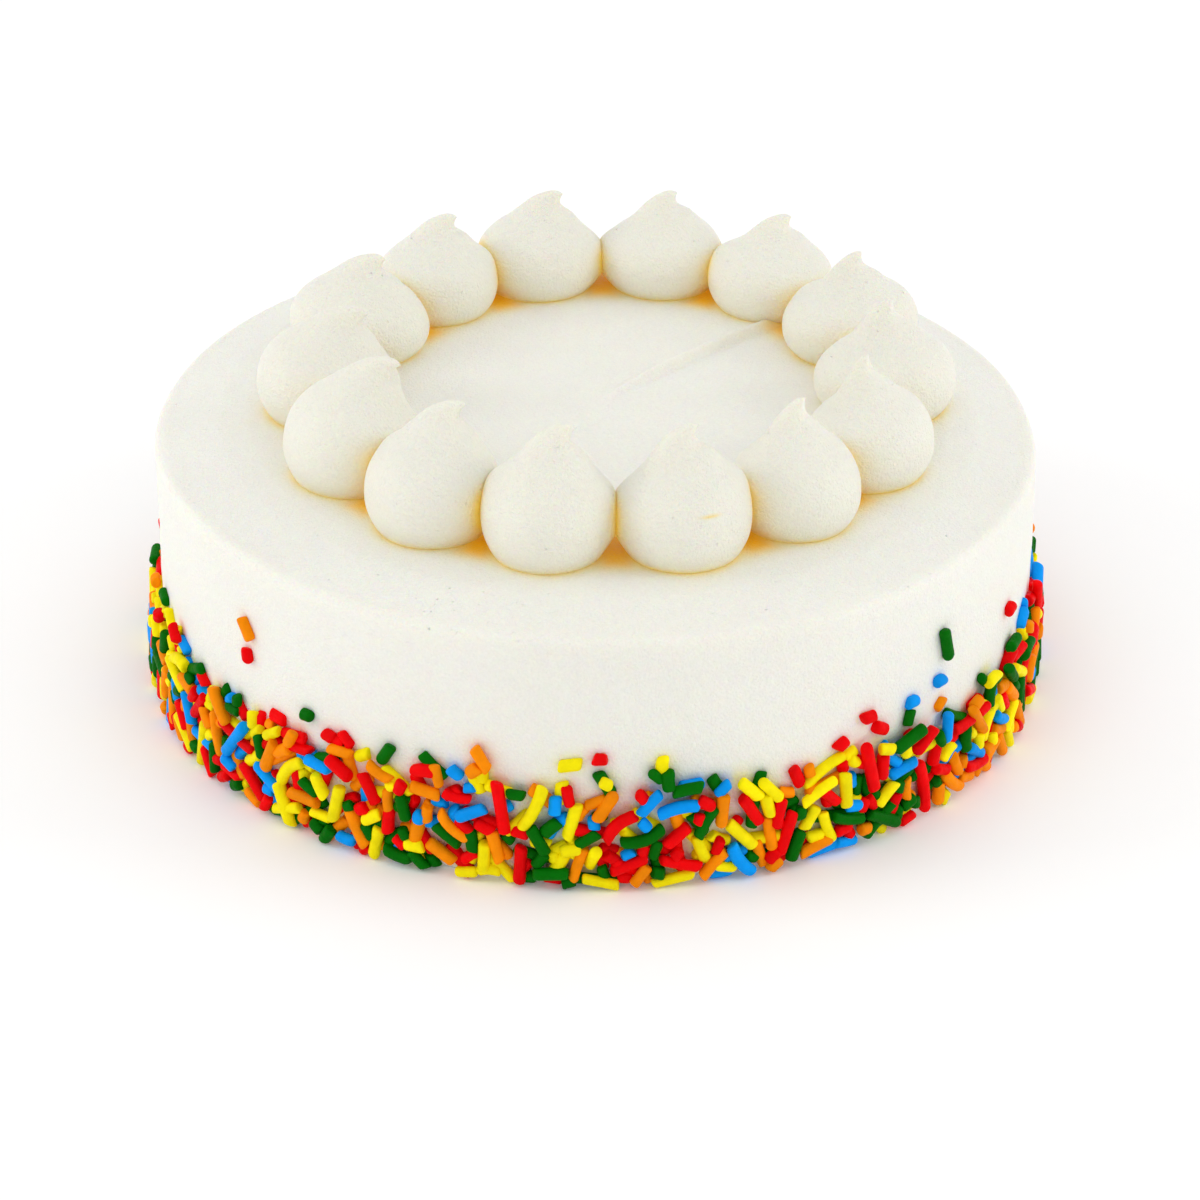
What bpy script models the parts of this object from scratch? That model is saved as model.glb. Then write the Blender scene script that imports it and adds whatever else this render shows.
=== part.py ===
"""A round frosted birthday cake: smooth white frosting, a ring of piped swirls, a band of sprinkles.

Metres, +Z up. The origin is the middle of the cake's flat underside and the cake's front faces -Y.
The cake is uncut, so it is one solid. Each piped swirl is a solid of its own that stands on the top.
The sprinkles lie half sunk in the side and are fused to it.
"""
import math
import random
from collections import namedtuple

import bmesh
import bpy
from mathutils import Matrix, Vector

MM = 0.001

# The frosted cake.
CAKE_RADIUS = 77.5 * MM
CAKE_STEPS = 72
FOOT_ROUND = 1.2 * MM
EDGE_HEIGHT = 45.8 * MM
SHOULDER_WIDTH = 11.0 * MM
SHOULDER_RISE = 2.6 * MM
TOP_RISE = 0.6 * MM
TOP_TILT = 0.0079

# The ring of piped swirls.
RING_CENTRE = Vector((1.6 * MM, 0.0, 0.0))
SWIRL_SIDES = 12
TOUCHING_GAP = 0.3 * MM
CURL_START = 0.68
TIP_TURN = math.radians(92)

# One row for each swirl, from the front one, counter-clockwise seen from above: its angle and distance
# about the ring's centre, its half widths along and across the ring, its height, how far its tip leans
# to +X, and how much of a neck it has. Lengths are in mm.
Swirl = namedtuple("Swirl", "angle ring across inout height lean neck")
SWIRLS = [
    Swirl(259.5, 52.4, 11.1, 11.2, 22.1, 1.3, 0.2),
    Swirl(284.5, 51.8, 11.5, 11.4, 21.9, -1.4, 0.3),
    Swirl(309.1, 50.3, 11.4, 11.3, 21.4, -1.5, 0.8),
    Swirl(335.0, 49.6, 11.6, 11.2, 20.8, -3.0, 1.0),
    Swirl(4.5, 49.5, 12.0, 12.6, 19.4, -1.9, 0.8),
    Swirl(31.6, 51.8, 11.5, 12.9, 17.9, -0.8, 0.8),
    Swirl(56.2, 54.5, 11.7, 12.0, 16.9, 0.9, 0.4),
    Swirl(79.2, 55.5, 11.7, 11.4, 17.2, -0.2, 0.4),
    Swirl(103.4, 54.5, 11.8, 11.5, 17.5, 1.8, 0.4),
    Swirl(126.8, 52.2, 11.5, 11.6, 17.5, 1.0, 0.3),
    Swirl(151.0, 51.1, 12.1, 12.9, 17.0, 2.4, 0.3),
    Swirl(181.4, 48.7, 12.6, 12.9, 18.9, 5.0, 0.3),
    Swirl(210.4, 50.1, 12.2, 12.3, 21.0, 6.5, 0.4),
    Swirl(236.0, 51.5, 11.7, 12.0, 21.7, 2.6, 0.3),
]

# A swirl's outline: share of its height, then its radius where it is plump and where it has a neck.
SWIRL_OUTLINE = [
    (0.00, 0.80, 0.78),
    (0.10, 0.94, 0.94),
    (0.25, 1.00, 1.00),
    (0.40, 0.97, 0.97),
    (0.53, 0.85, 0.80),
    (0.65, 0.66, 0.52),
    (0.77, 0.43, 0.30),
    (0.88, 0.23, 0.17),
    (0.96, 0.11, 0.09),
]

# The band of sprinkles round the side.
SEED = 20
COLOURS = ["red", "yellow", "green", "orange", "blue"]
COLOUR_SHARES = [25, 22, 20, 18, 15]
THICKNESS = 2.2 * MM
BAND_FULL = 12.0 * MM
BAND_TOP = 20.5 * MM
BAND_WAVE = 2.2 * MM
REACH = CAKE_RADIUS + 3.3 * MM
END_LENGTH = 5.5 * MM
END_HEIGHT = 6.0 * MM
END_TURN = math.radians(75)
END_TILT = math.radians(32)
FUSED_COUNT = 220
SHORTEST_FUSED = 3.6 * MM
CLOSEST = 0.46

# How many places are tried for sprinkles of each length in mm: most end up about 5 mm long.
TRIES = {9.5: 14, 8.0: 40, 7.0: 90, 6.2: 150, 5.6: 210, 5.0: 300, 4.4: 380, 3.8: 450, 3.2: 550, 2.6: 650}

# A sprinkle lies on the side at an angle round the cake and a height. It is turned from level, its
# middle stands out from the side, and its tilt lifts one end away from the side.
Sprinkle = namedtuple("Sprinkle", "angle height turn length thick stand tilt colour")

# Sprinkles that lie apart above the band: angle, height, turn from level, length in mm, and colour.
STRAYS = [
    (-138.3, 33.5, 125, 4.2, "orange"),
    (-138.3, 28.6, 100, 2.4, "red"),
    (-127.8, 22.6, 0, 2.4, "green"),
    (-40.8, 31.3, 105, 6.0, "green"),
    (-23.5, 26.9, 10, 2.6, "red"),
    (-58.2, 20.6, 30, 2.6, "red"),
    (-54.1, 24.0, 0, 3.0, "red"),
    (-52.2, 21.0, 150, 3.4, "red"),
    (-47.0, 23.4, 0, 2.4, "blue"),
    (-41.8, 24.6, 0, 2.4, "blue"),
    (-92.8, 23.2, 10, 4.0, "yellow"),
    (-89.2, 24.4, 0, 2.4, "red"),
    (-103.5, 20.6, 90, 3.6, "yellow"),
    (-81.6, 22.3, 95, 4.4, "yellow"),
    (-88.6, 19.8, 120, 5.0, "green"),
    (-78.2, 18.6, 5, 4.2, "blue"),
]


def remove_all_objects():
    for thing in list(bpy.data.objects):
        bpy.data.objects.remove(thing, do_unlink=True)


def make_collection(name):
    collection = bpy.data.collections.new(name)
    bpy.context.scene.collection.children.link(collection)
    return collection


def make_material(name, colour, roughness):
    material = bpy.data.materials.new(name)
    material.use_nodes = True
    shader = material.node_tree.nodes["Principled BSDF"]
    shader.inputs["Base Color"].default_value = (*colour, 1.0)
    shader.inputs["Roughness"].default_value = roughness
    shader.inputs["Metallic"].default_value = 0.0
    return material


def add_object(name, mesh, collection, material):
    made = bpy.data.objects.new(name, mesh)
    collection.objects.link(made)
    mesh.materials.append(material)
    return made


def turned_mesh(name, outline, steps):
    """A closed mesh turned about Z from an outline of (radius, height) that runs top to bottom."""
    profile = bpy.data.meshes.new(name + "_outline")
    points = [(radius, 0.0, height) for radius, height in outline]
    edges = [(i, i + 1) for i in range(len(points) - 1)]
    profile.from_pydata(points, edges, [])
    holder = bpy.data.objects.new(name + "_outline", profile)
    bpy.context.scene.collection.objects.link(holder)
    screw = holder.modifiers.new("Screw", "SCREW")
    screw.steps = steps
    screw.render_steps = steps
    screw.use_merge_vertices = True
    screw.merge_threshold = 0.00001
    graph = bpy.context.evaluated_depsgraph_get()
    mesh = bpy.data.meshes.new_from_object(holder.evaluated_get(graph))
    mesh.name = name
    bpy.data.objects.remove(holder, do_unlink=True)
    return mesh


def top_height(x):
    """The height of the cake's top where the swirls stand: it is a little higher on the left."""
    return EDGE_HEIGHT + SHOULDER_RISE + TOP_RISE - TOP_TILT * x


def cake_outline():
    """The cake's half outline, from the middle of its top down to the middle of its underside."""
    shoulder_foot = EDGE_HEIGHT + 0.3 * MM
    inner = CAKE_RADIUS - SHOULDER_WIDTH
    top = EDGE_HEIGHT + SHOULDER_RISE + TOP_RISE
    return [
        (0.0, top),
        (inner - 5.0 * MM, top),
        (inner, EDGE_HEIGHT + SHOULDER_RISE),
        (CAKE_RADIUS - 2.0 * MM, shoulder_foot),
        (CAKE_RADIUS - 0.7 * MM, EDGE_HEIGHT),
        (CAKE_RADIUS - 0.1 * MM, EDGE_HEIGHT - 0.7 * MM),
        (CAKE_RADIUS, EDGE_HEIGHT - 2.0 * MM),
        (CAKE_RADIUS, FOOT_ROUND),
        (CAKE_RADIUS - FOOT_ROUND, 0.0),
        (0.0, 0.0),
    ]


def make_cake(collection, material):
    mesh = turned_mesh("cake", cake_outline(), CAKE_STEPS)
    for vertex in mesh.vertices:
        vertex.co.z -= TOP_TILT * vertex.co.x * min(1.0, vertex.co.z / EDGE_HEIGHT)
    return add_object("cake", mesh, collection, material)


def swirl_spine(height, lean, neck):
    """Where a swirl's middle runs: up, leaning more and more towards +X, with the tip bent over."""
    tip_turn = TIP_TURN * (1.0 - 0.5 * neck)
    steps = 40
    points = [Vector((0.0, 0.0, 0.0))]
    turns = [0.0]
    for i in range(steps):
        share = (i + 1) / steps
        bend = max(0.0, (share - CURL_START) / (1.0 - CURL_START))
        turn = tip_turn * bend ** 1.6 + 2.0 * lean / height * share
        step = Vector((math.sin(turn), 0.0, math.cos(turn))) * height / steps
        points.append(points[-1] + step)
        turns.append(turn)
    stretch = height / max(point.z for point in points)
    for point in points:
        point.z *= stretch
    return points, turns


def follow_spine(share, spine):
    """The point and the turn of the spine at a share of its length."""
    points, turns = spine
    place = share * (len(points) - 1)
    low = min(int(place), len(points) - 2)
    part = place - low
    return points[low].lerp(points[low + 1], part), turns[low] + part * (turns[low + 1] - turns[low])


def make_swirl(number, collection, material):
    """One piped swirl, flattened where its neighbours press on it, standing on the cake's top."""
    row = SWIRLS[number]
    height = row.height * MM
    outline = [((1 - row.neck) * plump + row.neck * necked, share * height)
               for share, plump, necked in SWIRL_OUTLINE]
    outline = [(0.0, 0.0)] + outline + [(0.0, height)]
    outline.reverse()
    mesh = turned_mesh(f"dollop_{number + 1:02d}", outline, SWIRL_SIDES)

    angle = math.radians(row.angle)
    outward = Vector((math.cos(angle), math.sin(angle), 0.0))
    sideways = Vector((-outward.y, outward.x, 0.0))
    foot = RING_CENTRE + outward * row.ring * MM
    spine = swirl_spine(height, row.lean * MM, row.neck)
    before = SWIRLS[number - 1].angle
    after = SWIRLS[(number + 1) % len(SWIRLS)].angle
    room = {
        1: 0.5 * math.radians((after - row.angle) % 360.0),
        -1: 0.5 * math.radians((row.angle - before) % 360.0),
    }
    for vertex in mesh.vertices:
        middle, turn = follow_spine(vertex.co.z / height, spine)
        wide = vertex.co.x * outward * row.inout * MM + vertex.co.y * sideways * row.across * MM
        tilted = Vector((wide.x * math.cos(turn), wide.y, -wide.x * math.sin(turn)))
        place = foot + middle + tilted
        vertex.co = squeezed(place, outward, sideways, room)
    made = add_object(mesh.name, mesh, collection, material)
    settle = height / max(vertex.co.z for vertex in mesh.vertices)
    for vertex in mesh.vertices:
        vertex.co.z = vertex.co.z * settle + top_height(vertex.co.x) + TOUCHING_GAP
        vertex.co -= foot
    made.location = foot
    mesh.shade_smooth()
    return made


def squeezed(place, outward, sideways, room):
    """Keeps a point inside the wedge between a swirl's two neighbours."""
    from_centre = place - RING_CENTRE
    along = from_centre.dot(outward)
    across = from_centre.dot(sideways)
    side = 1 if across > 0 else -1
    half = room[side]
    limit = along * math.tan(half) - 0.55 * TOUCHING_GAP / math.cos(half)
    if abs(across) > limit:
        place = place - sideways * side * (abs(across) - limit)
    return place


def band_share(angle, height):
    """How full the band of sprinkles is at an angle and a height: 1 low down, 0 above its edge."""
    wave = math.sin(3.0 * angle + 0.6) + 0.6 * math.sin(7.0 * angle + 2.0) + 0.5 * math.sin(13.0 * angle)
    top = BAND_TOP + 0.5 * BAND_WAVE * wave
    return min(1.0, max(0.0, (top - height) / (top - BAND_FULL))) ** 1.3


def ends_on_wall(sprinkle):
    """Both ends of a sprinkle's middle line on the unrolled side, as (distance round, height)."""
    half = 0.5 * max(0.0, sprinkle.length - sprinkle.thick)
    around = math.cos(sprinkle.turn) * half
    up = math.sin(sprinkle.turn) * half
    middle = sprinkle.angle * CAKE_RADIUS
    return (middle - around, sprinkle.height - up), (middle + around, sprinkle.height + up)


def gap_between(one, other):
    """The least distance between two middle lines on the unrolled side."""
    def nearest(point, start, end):
        run = (end[0] - start[0], end[1] - start[1])
        length = run[0] ** 2 + run[1] ** 2
        share = 0.0
        if length > 0.0:
            share = ((point[0] - start[0]) * run[0] + (point[1] - start[1]) * run[1]) / length
        share = min(1.0, max(0.0, share))
        return math.hypot(point[0] - start[0] - share * run[0], point[1] - start[1] - share * run[1])

    a, b = ends_on_wall(one)
    c, d = ends_on_wall(other)
    turn = 2.0 * math.pi * CAKE_RADIUS
    shift = turn * round((a[0] - c[0]) / turn)
    c = (c[0] + shift, c[1])
    d = (d[0] + shift, d[1])
    return min(nearest(a, c, d), nearest(b, c, d), nearest(c, a, b), nearest(d, a, b))


def first_layer():
    """The sprinkles that touch the side: the strays, then the band, the longest ones first."""
    draw = random.Random(SEED)
    placed = furthest_sprinkles()
    for angle, height, turn, length, colour in STRAYS:
        placed.append(Sprinkle(math.radians(angle), height * MM, math.radians(turn), length * MM,
                               THICKNESS, 0.35 * MM, 0.0, colour))
    for typical, tries in TRIES.items():
        for attempt in range(tries):
            length = typical * draw.uniform(0.93, 1.07) * MM
            thick = THICKNESS * draw.uniform(0.88, 1.08)
            turn = draw.uniform(0.0, math.pi)
            lowest = 0.5 * thick + 0.5 * (length - thick) * abs(math.sin(turn)) + 0.1 * MM
            height = lowest + (BAND_TOP + BAND_WAVE - lowest) * draw.random() ** 1.4
            angle = draw.uniform(0.0, 2.0 * math.pi)
            stand = draw.uniform(0.2, 0.9) * MM
            tilt = math.radians(draw.uniform(-10.0, 10.0))
            colour = draw.choices(COLOURS, COLOUR_SHARES)[0]
            chance = draw.random()
            fresh = Sprinkle(angle, height, turn, length, thick, stand, tilt, colour)
            if chance > band_share(angle, height + 0.3 * length * abs(math.sin(turn))):
                continue
            if all(gap_between(fresh, other) > CLOSEST * (thick + other.thick) for other in placed):
                placed.append(fresh)
    return placed


def sprinkle_matrix(sprinkle):
    """Places a sprinkle that lies along its own Z on the side, its middle line just outside it."""
    outward = Vector((math.cos(sprinkle.angle), math.sin(sprinkle.angle), 0.0))
    sideways = Vector((-outward.y, outward.x, 0.0))
    along = sideways * math.cos(sprinkle.turn) + Vector((0.0, 0.0, 1.0)) * math.sin(sprinkle.turn)
    across = along.cross(outward)
    lifted = along * math.cos(sprinkle.tilt) + outward * math.sin(sprinkle.tilt)
    centre = outward * (CAKE_RADIUS + sprinkle.stand)
    centre.z = sprinkle.height
    return Matrix.Translation(centre) @ Matrix((across.cross(lifted), across, lifted)).transposed().to_4x4()


def add_sprinkle(number, sprinkle, collection, materials):
    """A six-sided rod with blunt ends, from a ball with two rings pulled apart."""
    mesh = bpy.data.meshes.new(f"sprinkle_{number:03d}")
    shape = bmesh.new()
    bmesh.ops.create_uvsphere(shape, u_segments=6, v_segments=3, radius=0.5 * sprinkle.thick)
    widen = 1.0 / math.sin(math.pi / 3.0)
    pull = 0.5 * max(0.0, sprinkle.length - sprinkle.thick)
    for vertex in shape.verts:
        vertex.co.x *= widen
        vertex.co.y *= widen
        vertex.co.z += pull if vertex.co.z > 0.0 else -pull
    shape.transform(sprinkle_matrix(sprinkle))
    shape.to_mesh(mesh)
    shape.free()
    add_object(mesh.name, mesh, collection, materials[sprinkle.colour])


def furthest_sprinkles():
    """Four sprinkles that stand out the furthest, one on each side, with one end in the side."""
    colours = {-90: "yellow", 0: "red", 90: "green", 180: "orange"}
    stand = REACH - CAKE_RADIUS - 0.5 * THICKNESS - 0.5 * (END_LENGTH - THICKNESS) * math.sin(END_TILT)
    return [Sprinkle(math.radians(angle), END_HEIGHT, END_TURN, END_LENGTH, THICKNESS, stand, END_TILT,
                     colour) for angle, colour in colours.items()]


def fuse_sprinkles(cake, materials):
    """Joins the sprinkles to the cake by one Boolean union and removes the loose ones."""
    holder = make_collection("sprinkles")
    chosen = [s for s in first_layer() if s.length > SHORTEST_FUSED or s.height > BAND_TOP]
    for number, sprinkle in enumerate(chosen[:FUSED_COUNT]):
        add_sprinkle(number, sprinkle, holder, materials)
    union = cake.modifiers.new("Sprinkles", "BOOLEAN")
    union.operation = "UNION"
    union.operand_type = "COLLECTION"
    union.collection = holder
    union.solver = "EXACT"
    union.material_mode = "TRANSFER"
    graph = bpy.context.evaluated_depsgraph_get()
    fused = bpy.data.meshes.new_from_object(cake.evaluated_get(graph))
    cake.modifiers.clear()
    cake.data = fused
    fused.name = "cake"
    for thing in list(holder.objects):
        bpy.data.objects.remove(thing, do_unlink=True)
    bpy.data.collections.remove(holder)
    keep_largest_shell(fused)


def keep_largest_shell(mesh):
    """Drops loose scraps and the shells of sealed hollows, which fills those hollows."""
    shape = bmesh.new()
    shape.from_mesh(mesh)
    unseen = set(shape.verts)
    shells = []
    while unseen:
        start = unseen.pop()
        shell = [start]
        for vertex in shell:
            for edge in vertex.link_edges:
                other = edge.other_vert(vertex)
                if other in unseen:
                    unseen.remove(other)
                    shell.append(other)
        shells.append(shell)
    shells.sort(key=len, reverse=True)
    for shell in shells[1:]:
        bmesh.ops.delete(shape, geom=shell, context="VERTS")
    shape.to_mesh(mesh)
    shape.free()


def main():
    remove_all_objects()
    collection = make_collection("birthday_cake")
    frosting = make_material("frosting", (0.88, 0.86, 0.78), 0.55)
    cream = make_material("piped_frosting", (0.90, 0.88, 0.78), 0.5)
    dyes = {
        "red": (0.75, 0.01, 0.02),
        "yellow": (0.92, 0.78, 0.02),
        "green": (0.0, 0.11, 0.01),
        "orange": (0.95, 0.22, 0.0),
        "blue": (0.0, 0.25, 0.85),
    }
    materials = {name: make_material("sprinkle_" + name, dye, 0.3) for name, dye in dyes.items()}
    cake = make_cake(collection, frosting)
    fuse_sprinkles(cake, materials)
    cake.data.set_sharp_from_angle(angle=math.radians(40))
    for number in range(len(SWIRLS)):
        make_swirl(number, collection, cream)


main()
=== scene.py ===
"""The looks of a round frosted birthday cake: fine frosting, piped swirls and sugar sprinkles.

Metres, +Z up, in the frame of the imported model. The cake stands on z = 0 and its front faces -Y.
"""
import math
import random
from collections import namedtuple

import bpy
import numpy as np
from mathutils import Matrix, Vector


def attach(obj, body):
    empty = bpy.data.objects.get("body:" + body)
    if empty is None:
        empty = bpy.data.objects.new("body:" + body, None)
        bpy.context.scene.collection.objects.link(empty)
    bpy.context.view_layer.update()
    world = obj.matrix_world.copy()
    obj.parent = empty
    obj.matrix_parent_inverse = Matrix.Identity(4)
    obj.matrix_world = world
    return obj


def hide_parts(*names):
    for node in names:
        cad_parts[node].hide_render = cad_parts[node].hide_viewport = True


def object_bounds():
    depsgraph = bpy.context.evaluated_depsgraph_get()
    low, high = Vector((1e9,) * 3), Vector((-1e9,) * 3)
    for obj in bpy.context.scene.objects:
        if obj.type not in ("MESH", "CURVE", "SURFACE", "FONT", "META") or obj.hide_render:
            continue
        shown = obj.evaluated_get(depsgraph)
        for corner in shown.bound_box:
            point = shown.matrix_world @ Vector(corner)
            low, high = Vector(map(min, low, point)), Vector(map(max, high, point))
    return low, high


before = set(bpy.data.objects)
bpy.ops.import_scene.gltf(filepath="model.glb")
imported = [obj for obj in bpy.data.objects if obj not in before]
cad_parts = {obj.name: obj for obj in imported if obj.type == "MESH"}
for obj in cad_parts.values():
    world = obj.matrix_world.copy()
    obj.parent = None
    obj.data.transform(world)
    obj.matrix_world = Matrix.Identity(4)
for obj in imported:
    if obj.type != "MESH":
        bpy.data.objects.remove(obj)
CAD_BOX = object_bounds()

MM = 0.001

# The frosted cake, as in the solids.
CAKE_RADIUS = 77.5 * MM
FOOT_ROUND = 1.2 * MM
EDGE_HEIGHT = 45.8 * MM
SHOULDER_WIDTH = 11.0 * MM
SHOULDER_RISE = 2.6 * MM
TOP_RISE = 0.6 * MM
TOP_TILT = 0.0079

# The ring of piped swirls, as in the solids, with a finer outline. Lengths in the rows are in mm.
RING_CENTRE = Vector((1.6 * MM, 0.0, 0.0))
CURL_START = 0.74
CURL_FULL = 0.95
CURL_POWER = 1.6
TIP_TURN = math.radians(94)
FOOT_SLOPE = 1.9
Swirl = namedtuple("Swirl", "angle ring across inout height lean neck")
SWIRLS = [
    Swirl(259.5, 52.4, 11.1, 11.2, 22.1, 1.3, 0.2),
    Swirl(284.5, 51.8, 11.5, 11.4, 21.9, -1.4, 0.3),
    Swirl(309.1, 50.3, 11.4, 11.3, 21.4, -1.5, 0.8),
    Swirl(335.0, 49.6, 11.6, 11.2, 20.8, -3.0, 1.0),
    Swirl(4.5, 49.5, 12.0, 12.6, 19.4, -1.9, 0.8),
    Swirl(31.6, 51.8, 11.5, 12.9, 17.9, -0.8, 0.8),
    Swirl(56.2, 54.5, 11.7, 12.0, 16.9, 0.9, 0.4),
    Swirl(79.2, 55.5, 11.7, 11.4, 17.2, -0.2, 0.4),
    Swirl(103.4, 54.5, 11.8, 11.5, 17.5, 1.8, 0.4),
    Swirl(126.8, 52.2, 11.5, 11.6, 17.5, 1.0, 0.3),
    Swirl(151.0, 51.1, 12.1, 12.9, 17.0, 2.4, 0.3),
    Swirl(181.4, 48.7, 12.6, 12.9, 18.9, 5.0, 0.3),
    Swirl(210.4, 50.1, 12.2, 12.3, 21.0, 6.5, 0.4),
    Swirl(236.0, 51.5, 11.7, 12.0, 21.7, 2.6, 0.3),
]
SWIRL_OUTLINE = [
    (0.00, 0.80, 0.78),
    (0.10, 0.94, 0.94),
    (0.25, 1.00, 1.00),
    (0.40, 0.955, 0.95),
    (0.53, 0.825, 0.78),
    (0.65, 0.63, 0.51),
    (0.77, 0.42, 0.30),
    (0.88, 0.205, 0.155),
    (0.96, 0.078, 0.06),
]

# The band of sprinkles, as in the solids.
SEED = 20
COLOURS = ["red", "yellow", "green", "orange", "blue"]
COLOUR_SHARES = [25, 22, 20, 18, 15]
THICKNESS = 2.2 * MM
BAND_FULL = 12.0 * MM
BAND_TOP = 20.5 * MM
BAND_WAVE = 2.2 * MM
REACH = CAKE_RADIUS + 3.3 * MM
END_LENGTH = 5.5 * MM
END_HEIGHT = 6.0 * MM
END_TURN = math.radians(75)
END_TILT = math.radians(32)
CLOSEST = 0.46
TRIES = {9.5: 14, 8.0: 40, 7.0: 90, 6.2: 150, 5.6: 210, 5.0: 300, 4.4: 380, 3.8: 450, 3.2: 550, 2.6: 650}
Sprinkle = namedtuple("Sprinkle", "angle height turn length thick stand tilt colour bow", defaults=(None,))
STRAYS = [
    (-138.3, 33.5, 125, 4.2, "orange"),
    (-138.3, 28.6, 100, 2.4, "red"),
    (-127.8, 22.6, 0, 2.4, "green"),
    (-40.8, 31.3, 105, 6.0, "green"),
    (-23.5, 26.9, 10, 2.6, "red"),
    (-58.2, 20.6, 30, 2.6, "red"),
    (-54.1, 24.0, 0, 3.0, "red"),
    (-52.2, 21.0, 150, 3.4, "red"),
    (-47.0, 23.4, 0, 2.4, "blue"),
    (-41.8, 24.6, 0, 2.4, "blue"),
    (-92.8, 23.2, 10, 4.0, "yellow"),
    (-89.2, 24.4, 0, 2.4, "red"),
    (-103.5, 20.6, 90, 3.6, "yellow"),
    (-81.6, 22.3, 95, 4.4, "yellow"),
    (-88.6, 19.8, 120, 5.0, "green"),
    (-78.2, 18.6, 5, 4.2, "blue"),
]

# The sprinkles that catch the eye, on top of the first layer: angle, height, turn, length, how far the
# middle bends up as a share of the length, and colour. Lengths are in mm, angles in degrees.
CHOSEN = [
    (-101, 15.0, 98, 9.8, 0.0, "red"),
    (-97, 15.5, 67, 8.8, 0.05, "yellow"),
    (-92.5, 13.0, 76, 6.8, 0.0, "yellow"),
    (-88.5, 16.0, 60, 5.8, 0.0, "orange"),
    (-87, 12.5, 45, 7.2, -0.14, "red"),
    (-84, 10.0, 20, 7.4, 0.16, "green"),
    (-96.5, 9.5, 118, 5.4, 0.0, "green"),
    (-98.7, 4.2, 87, 7.2, 0.0, "red"),
    (-110.5, 15.8, 172, 5.4, 0.0, "orange"),
    (-104.5, 13.5, 28, 5.4, 0.0, "blue"),
    (-107.7, 8.0, 145, 5.3, 0.0, "green"),
    (-108.5, 4.4, 147, 5.6, 0.0, "orange"),
    (-95, 3.1, 4, 6.0, 0.0, "green"),
    (-71, 17.0, 133, 5.2, 0.0, "yellow"),
    (-70.8, 13.0, 120, 6.6, 0.0, "red"),
    (-64.5, 17.0, 113, 3.8, 0.0, "red"),
    (-54.5, 15.0, 104, 9.6, 0.0, "red"),
    (-45.5, 16.0, 33, 5.5, 0.0, "red"),
    (-49, 12.0, 7, 6.2, 0.0, "blue"),
    (-45, 6.5, 102, 10.5, 0.04, "red"),
    (-72, 8.5, 131, 7.2, 0.0, "yellow"),
    (-63, 9.0, 59, 4.6, 0.0, "yellow"),
    (-80, 10.0, 43, 5.4, 0.0, "red"),
    (-140, 11.5, 53, 9.8, 0.0, "blue"),
    (-130, 11.5, 48, 7.6, -0.12, "yellow"),
    (-116, 20.5, 60, 4.0, 0.0, "green"),
    (-122.5, 9.0, 77, 7.2, 0.0, "yellow"),
    (-118, 13.5, 118, 6.0, 0.0, "red"),
    (-137, 5.0, 138, 7.3, 0.0, "red"),
    (-128, 7.0, 2, 6.5, 0.0, "orange"),
]

# Sprinkles that lie on the first layer: how many places are tried for each length in mm.
SECOND_SEED = 77
SECOND_TRIES = {9.0: 40, 7.6: 160, 6.6: 400, 5.6: 800, 4.8: 1000, 4.0: 1300, 3.4: 1500, 2.8: 1500,
                2.2: 1500}
SECOND_STANDS_OUT = 0.9 * MM
SECOND_SINK = 0.60
SECOND_CLOSEST = 0.32
SECOND_RISE = 2.2 * MM
SECOND_FULL = 13.5 * MM
CHOSEN_CLEAR = 0.46
FURTHEST_STAND = REACH - CAKE_RADIUS - 0.08 * MM

# The photograph's camera.
IMAGE_SIZE = 1200
FOCAL_PIXELS = 4200
SENSOR = 36.0
CAMERA_PLACE = Vector((0.86, -661.0, 380.9)) * MM
CAMERA_PITCH = math.radians(29.263)
CAMERA_ROLL = math.radians(0.459)


def smooth_field(points, seed, shortest, longest, count=24):
    """A smooth random field of about unit height at each point, made of waves of many directions."""
    draw = np.random.default_rng(seed)
    total = np.zeros(len(points))
    for _ in range(count):
        direction = draw.normal(size=3)
        direction /= np.linalg.norm(direction)
        wave = shortest * (longest / shortest) ** draw.random()
        total += np.cos(points @ direction * (2.0 * math.pi / wave) + draw.uniform(0.0, 2.0 * math.pi))
    return total * math.sqrt(2.0 / count)


def smooth_step(low, high, value):
    share = np.clip((value - low) / (high - low), 0.0, 1.0)
    return share * share * (3.0 - 2.0 * share)


def mesh_object(name, points, faces, material, smooth=True):
    """A mesh object from an array of points and a list of arrays of faces."""
    mesh = bpy.data.meshes.new(name)
    mesh.from_pydata(points.tolist(), [], [face for group in faces for face in group.tolist()])
    mesh.update()
    made = bpy.data.objects.new(name, mesh)
    bpy.context.scene.collection.objects.link(made)
    mesh.materials.append(material)
    if smooth:
        mesh.shade_smooth()
    return made


def ring_faces(rows, columns, first=0):
    """Quads between the rings of a tube whose rows follow each other, each ring closed on itself."""
    row = np.arange(rows - 1)[:, None] * columns + first
    column = np.arange(columns)[None, :]
    after = (column + 1) % columns
    quads = np.stack([row + column, row + columns + column, row + columns + after, row + after], axis=-1)
    return quads.reshape(-1, 4)


def fan_faces(centre, ring_start, columns, outward):
    """Triangles from one point to a ring."""
    column = np.arange(columns)
    after = (column + 1) % columns
    tip = np.full(columns, centre)
    if outward:
        return np.stack([tip, ring_start + column, ring_start + after], axis=-1)
    return np.stack([tip, ring_start + after, ring_start + column], axis=-1)


def set_colours(made, name, colours):
    """Stores one colour for each point of an object's mesh."""
    layer = made.data.color_attributes.new(name=name, type="FLOAT_COLOR", domain="POINT")
    values = np.ones((len(colours), 4))
    values[:, :3] = colours
    layer.data.foreach_set("color", values.ravel())


# Materials.

def add_node(tree, kind, **settings):
    node = tree.nodes.new(kind)
    for name, value in settings.items():
        setattr(node, name, value)
    return node


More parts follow.
